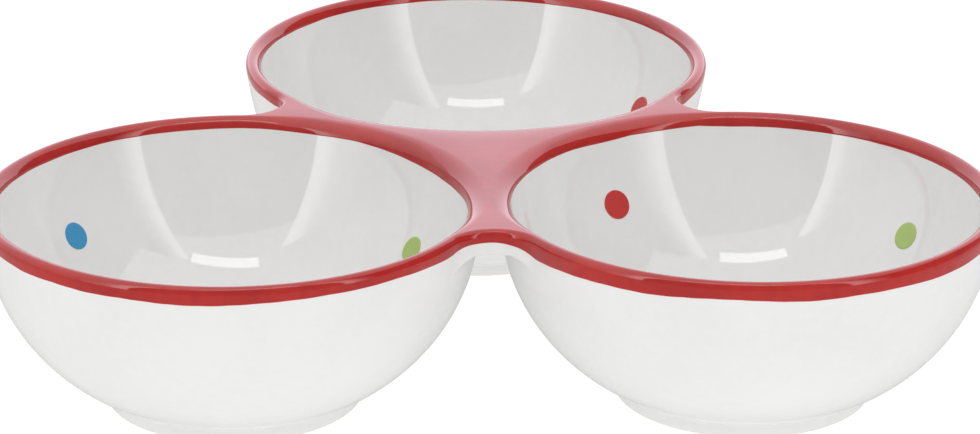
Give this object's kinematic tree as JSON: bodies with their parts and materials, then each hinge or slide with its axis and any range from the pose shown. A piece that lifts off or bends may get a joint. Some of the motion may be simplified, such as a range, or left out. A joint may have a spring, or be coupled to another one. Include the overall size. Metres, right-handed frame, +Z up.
{
  "type": "divided serving dish",
  "caption": "Serving dish of round glazed bowls joined at their lips by a flat bridge, each on its own foot ring, with red lips and coloured dots inside.",
  "frame": {"origin": "on the table, under the middle of the dish's overall width and depth", "axes": "+Z up, +Y from the front pair of bowls to the back bowl, +X to the right along the front pair"},
  "size_m": [0.238, 0.222, 0.0495],
  "materials": {
    "white_glaze": "high gloss",
    "red_glaze": "high gloss",
    "foot_ring": "gloss on the sides, bare clay where it touches the table",
    "blue_dot": "high gloss",
    "green_dot": "high gloss",
    "red_dot": "high gloss"
  },
  "bodies": {
    "root": {"back_blue_dot": "blue_dot", "back_bowl": "white_glaze", "back_foot_ring": "foot_ring", "back_green_dot": "green_dot", "back_red_dot": "red_dot", "back_rim_glaze": "red_glaze", "bridge": "white_glaze", "bridge_glaze": "red_glaze", "left_blue_dot": "blue_dot", "left_bowl": "white_glaze", "left_foot_ring": "foot_ring", "left_green_dot": "green_dot", "left_red_dot": "red_dot", "left_rim_glaze": "red_glaze", "right_blue_dot": "blue_dot", "right_bowl": "white_glaze", "right_foot_ring": "foot_ring", "right_green_dot": "green_dot", "right_red_dot": "red_dot", "right_rim_glaze": "red_glaze"}
  },
  "joints": []
}
